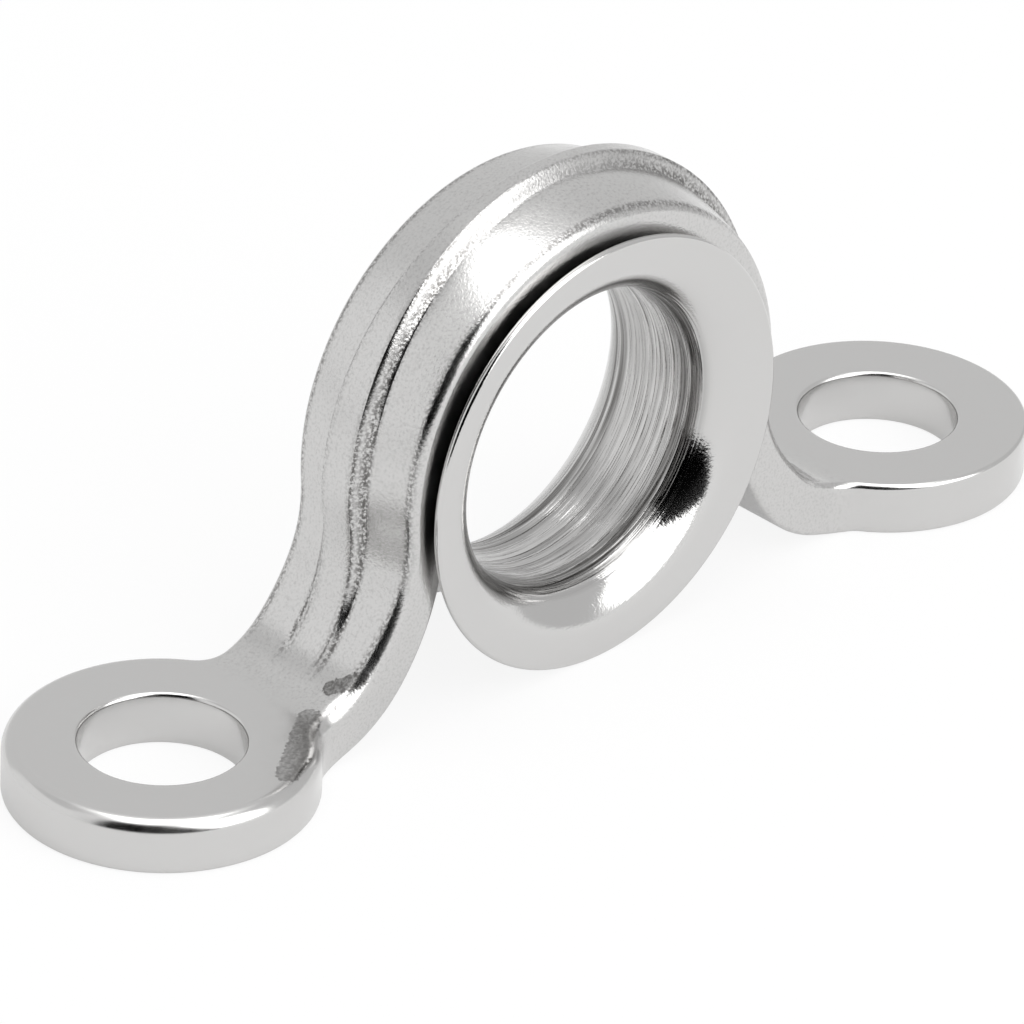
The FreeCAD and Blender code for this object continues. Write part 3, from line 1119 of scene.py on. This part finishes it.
def make_wall_strip():
    mesh = bpy.data.meshes.new("ferrule_strip")
    points = []
    faces = []
    count = len(profile)
    for row in range(RING_ROWS + 1):
        points += [(row / RING_ROWS, point.x * MM, point.y * MM) for point in profile]
    for row in range(RING_ROWS):
        for i in range(count):
            j = (i + 1) % count
            faces.append((row * count + i, row * count + j, (row + 1) * count + j, (row + 1) * count + i))
    mesh.from_pydata(points, [], faces)
    bore = mesh.attributes.new("bore", "FLOAT", "POINT")
    throat_shade = mesh.attributes.new("throat_shade", "FLOAT", "POINT")
    for vertex in mesh.vertices:
        depth = abs(vertex.co.y) / MM
        radius = vertex.co.z / MM
        bore.data[vertex.index].value = smooth((BORE_RADIUS + BORE_PAST - radius) / BORE_FADE)
        # The throat's share is where the colour is painted darker, as a dark reflection of the shaded floor.
        inside = 1.0 if radius < BORE_RADIUS + BELL_RADIUS / 2 else 0.0
        throat_shade.data[vertex.index].value = inside * smooth(1 - abs(depth - THROAT_DEPTH) / THROAT_HALF)
    return mesh


wall_strip = make_wall_strip()
print("strip:", len(wall_strip.polygons), "faces")

# %% Roll the strip up
SEAM_GAP = 0.001


def make_rolling_tree():
    tree, given, place = start_tree("Roll the wall up", ("Axis Height", "Seam Gap"))
    angle = calc(tree, "MULTIPLY", place[0], 2 * math.pi)
    x = calc(tree, "MULTIPLY", place[2], calc(tree, "SINE", angle))
    z = calc(tree, "MULTIPLY", place[2], calc(tree, "COSINE", angle))
    ring = join(tree, x, place[1], calc(tree, "ADD", z, given["Axis Height"]))
    weld = tree.nodes.new("GeometryNodeMergeByDistance")
    tree.links.new(move_points(tree, given["Geometry"], ring), weld.inputs["Geometry"])
    tree.links.new(given["Seam Gap"], weld.inputs["Distance"])
    finish_tree(tree, weld.outputs["Geometry"], given["Material"])
    return tree


ferrule = run_tree("ferrule_turned", wall_strip, make_rolling_tree(), {
    "Axis Height": FERRULE_HEIGHT * MM,
    "Seam Gap": SEAM_GAP * MM,
    "Material": ferrule_steel,
})

# %% [markdown]
# ## Which way the faces point
#
# A skin that is inside out still renders, but it is wrong for every other use. The sign
# of the volume tells: it is above zero when all faces point out of the metal.

# %% Turn the skins the right way out
def point_outwards(piece):
    bm = bmesh.new()
    bm.from_mesh(piece.data)
    if bm.calc_volume(signed=True) < 0:
        bmesh.ops.reverse_faces(bm, faces=bm.faces)
        bm.to_mesh(piece.data)
    volume = bm.calc_volume(signed=True) / MM ** 3
    print(piece.name, "volume", round(volume, 1), "cubic mm,", count_open_edges(bm), "open edges")
    bm.free()


for piece, node in ((strap, "strap"), (ferrule, "ferrule")):
    point_outwards(piece)
    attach(piece, "root")
    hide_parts(node)

# %% [markdown]
# ## Floor, surroundings and lamps
#
# Polished steel shows its surroundings, so the surroundings are most of the look. A
# photographer of small metal things puts them in a white tent, with soft lamps in front and
# above for the white areas, and holds a black card beside the lens. The black card draws
# the dark lines that tell the eye where the metal turns. A picture of a real room could
# light it too, but a few cards can be moved one by one. The floor glows for the camera, so
# that it looks white while the lamps stay at a plain level.

# %% Floor
FLOOR_HALF = 3.0
FLOOR_WHITE = 0.9
FLOOR_ROUGHNESS = 0.9
SEEN_GLOW = 0.88
MIRRORED_GLOW = 0.35


def make_floor():
    mesh = bpy.data.meshes.new("floor")
    corners = [(x * FLOOR_HALF, y * FLOOR_HALF, 0) for x, y in ((-1, -1), (1, -1), (1, 1), (-1, 1))]
    mesh.from_pydata(corners, [], [(0, 1, 2, 3)])
    floor = bpy.data.objects.new("floor", mesh)
    scene.collection.objects.link(floor)
    material = bpy.data.materials.new("pale_floor")
    material.use_nodes = True
    tree = material.node_tree
    shader = tree.nodes["Principled BSDF"]
    shader.inputs["Base Color"].default_value = (FLOOR_WHITE, FLOOR_WHITE, FLOOR_WHITE, 1)
    shader.inputs["Roughness"].default_value = FLOOR_ROUGHNESS
    glow = tree.nodes.new("ShaderNodeEmission")
    glow.inputs["Strength"].default_value = 1.0
    path = tree.nodes.new("ShaderNodeLightPath").outputs
    share = calc(tree, "MULTIPLY", path["Is Camera Ray"], SEEN_GLOW)
    share = calc(tree, "ADD", share, calc(tree, "MULTIPLY", path["Is Glossy Ray"], MIRRORED_GLOW))
    mix = tree.nodes.new("ShaderNodeMixShader")
    tree.links.new(share, mix.inputs["Fac"])
    tree.links.new(shader.outputs[0], mix.inputs[1])
    tree.links.new(glow.outputs[0], mix.inputs[2])
    tree.links.new(mix.outputs[0], tree.nodes["Material Output"].inputs["Surface"])
    mesh.materials.append(material)


make_floor()
print("floor", 2 * FLOOR_HALF, "m across")

# %% [markdown]
# ### The tent
#
# The world is the tent's cloth. It is white where the camera or a mirror looks at it, and
# dimmer where it only lights, or it would wash out the floor's shadow.

# %% World
TENT_LIGHT = 0.6


def make_world():
    world = bpy.data.worlds.new("studio")
    scene.world = world
    world.use_nodes = True
    tree = world.node_tree
    background = tree.nodes["Background"]
    background.inputs["Color"].default_value = (1, 1, 1, 1)
    path = tree.nodes.new("ShaderNodeLightPath").outputs
    seen = calc(tree, "MAXIMUM", path["Is Camera Ray"], path["Is Glossy Ray"])
    seen = calc(tree, "MAXIMUM", seen, path["Is Transmission Ray"])
    tree.links.new(add_ramp(tree, seen, 0.0, 1.0, TENT_LIGHT, 1.0), background.inputs["Strength"])


make_world()
print("world:", scene.world.name)

# %% [markdown]
# ### Lamps and cards by direction
#
# Where a lamp or card shows up on the metal depends almost only on its direction from the
# part and on how wide it looks from there. So each one is written like that, and not as a
# place: a turn away from the front, a lift above the floor, and a width and height as
# angles. The studio's few distances are in metres.

# %% Directions round the part
PART_MIDDLE = Vector((0, 0, 0.007))
STUDIO_RADIUS = 0.6


def direction_to(turn, lift):
    """Unit vector from the part; turn is in degrees from the front, to the right."""
    turn, lift = math.radians(turn), math.radians(lift)
    return Vector((math.sin(turn) * math.cos(lift), -math.cos(turn) * math.cos(lift), math.sin(lift)))


def angle_size(angle):
    """Width of something that looks this many degrees wide from the part."""
    return 2 * STUDIO_RADIUS * math.tan(math.radians(angle) / 2)


def face_the_part(thing, turn, lift):
    away = direction_to(turn, lift)
    thing.location = PART_MIDDLE + away * STUDIO_RADIUS
    thing.rotation_mode = "QUATERNION"
    thing.rotation_quaternion = (-away).to_track_quat("-Z", "Y")
    scene.collection.objects.link(thing)

# %% Soft lamps
def add_lamp(name, turn, lift, width, height, level):
    """A soft box; level 1 looks as bright as white paper."""
    data = bpy.data.lights.new(name, "AREA")
    data.shape = "RECTANGLE"
    data.size = angle_size(width)
    data.size_y = angle_size(height)
    data.energy = level * math.pi * data.size * data.size_y
    lamp = bpy.data.objects.new(name, data)
    face_the_part(lamp, turn, lift)
    return lamp


for lamp in (
    add_lamp("front_lamp", 5, 33.5, 56, 55, 1.9),
    add_lamp("top_lamp", -45, 84, 40, 40, 1.8),
):
    print(lamp.name, round(lamp.data.size, 2), "by", round(lamp.data.size_y, 2), "m")

# %% Cards
CARD_DISTANCE = 0.5
CARD_STEPS = 8


def card_mesh(name, left, right, low, high, slant):
    """A bent sheet between two turns and two lifts; slant moves its upper right corner."""
    mesh = bpy.data.meshes.new(name)
    points = []
    faces = []
    for i in range(CARD_STEPS + 1):
        lift = low + (high - low) * i / CARD_STEPS
        last = right + slant * i / CARD_STEPS
        for j in range(CARD_STEPS + 1):
            turn = left + (last - left) * j / CARD_STEPS
            points.append(PART_MIDDLE + direction_to(turn, lift) * CARD_DISTANCE)
    row = CARD_STEPS + 1
    for i in range(CARD_STEPS):
        for j in range(CARD_STEPS):
            start = i * row + j
            faces.append((start, start + 1, start + row + 1, start + row))
    mesh.from_pydata(points, [], faces)
    return mesh


def add_card(name, left, right, low, high, level, slant=0):
    """A card that only the metal sees: level 0 is black, level 1 white."""
    mesh = card_mesh(name, left, right, low, high, slant)
    material = bpy.data.materials.new(name)
    material.use_nodes = True
    tree = material.node_tree
    glow = tree.nodes.new("ShaderNodeEmission")
    glow.inputs["Strength"].default_value = level
    tree.links.new(glow.outputs[0], tree.nodes["Material Output"].inputs["Surface"])
    mesh.materials.append(material)
    card = bpy.data.objects.new(name, mesh)
    card.visible_camera = False
    card.visible_diffuse = False
    card.visible_shadow = False
    scene.collection.objects.link(card)
    return card


for card in (
    add_card("black_card", -87, -4, 0.5, 54, 0.0, slant=-28),
    add_card("right_card", 37, 110, 2, 60, 0.7),
    add_card("back_card", 110, 195, 2, 60, 0.8),
    add_card("left_card", 195, 245, 36, 62, 0.72),
):
    print(card.name, len(card.data.polygons), "faces")

# %% [markdown]
# ## Finish
#
# The last step sets the colour view to Standard.

# %% Finish
scene.view_settings.view_transform = "Standard"
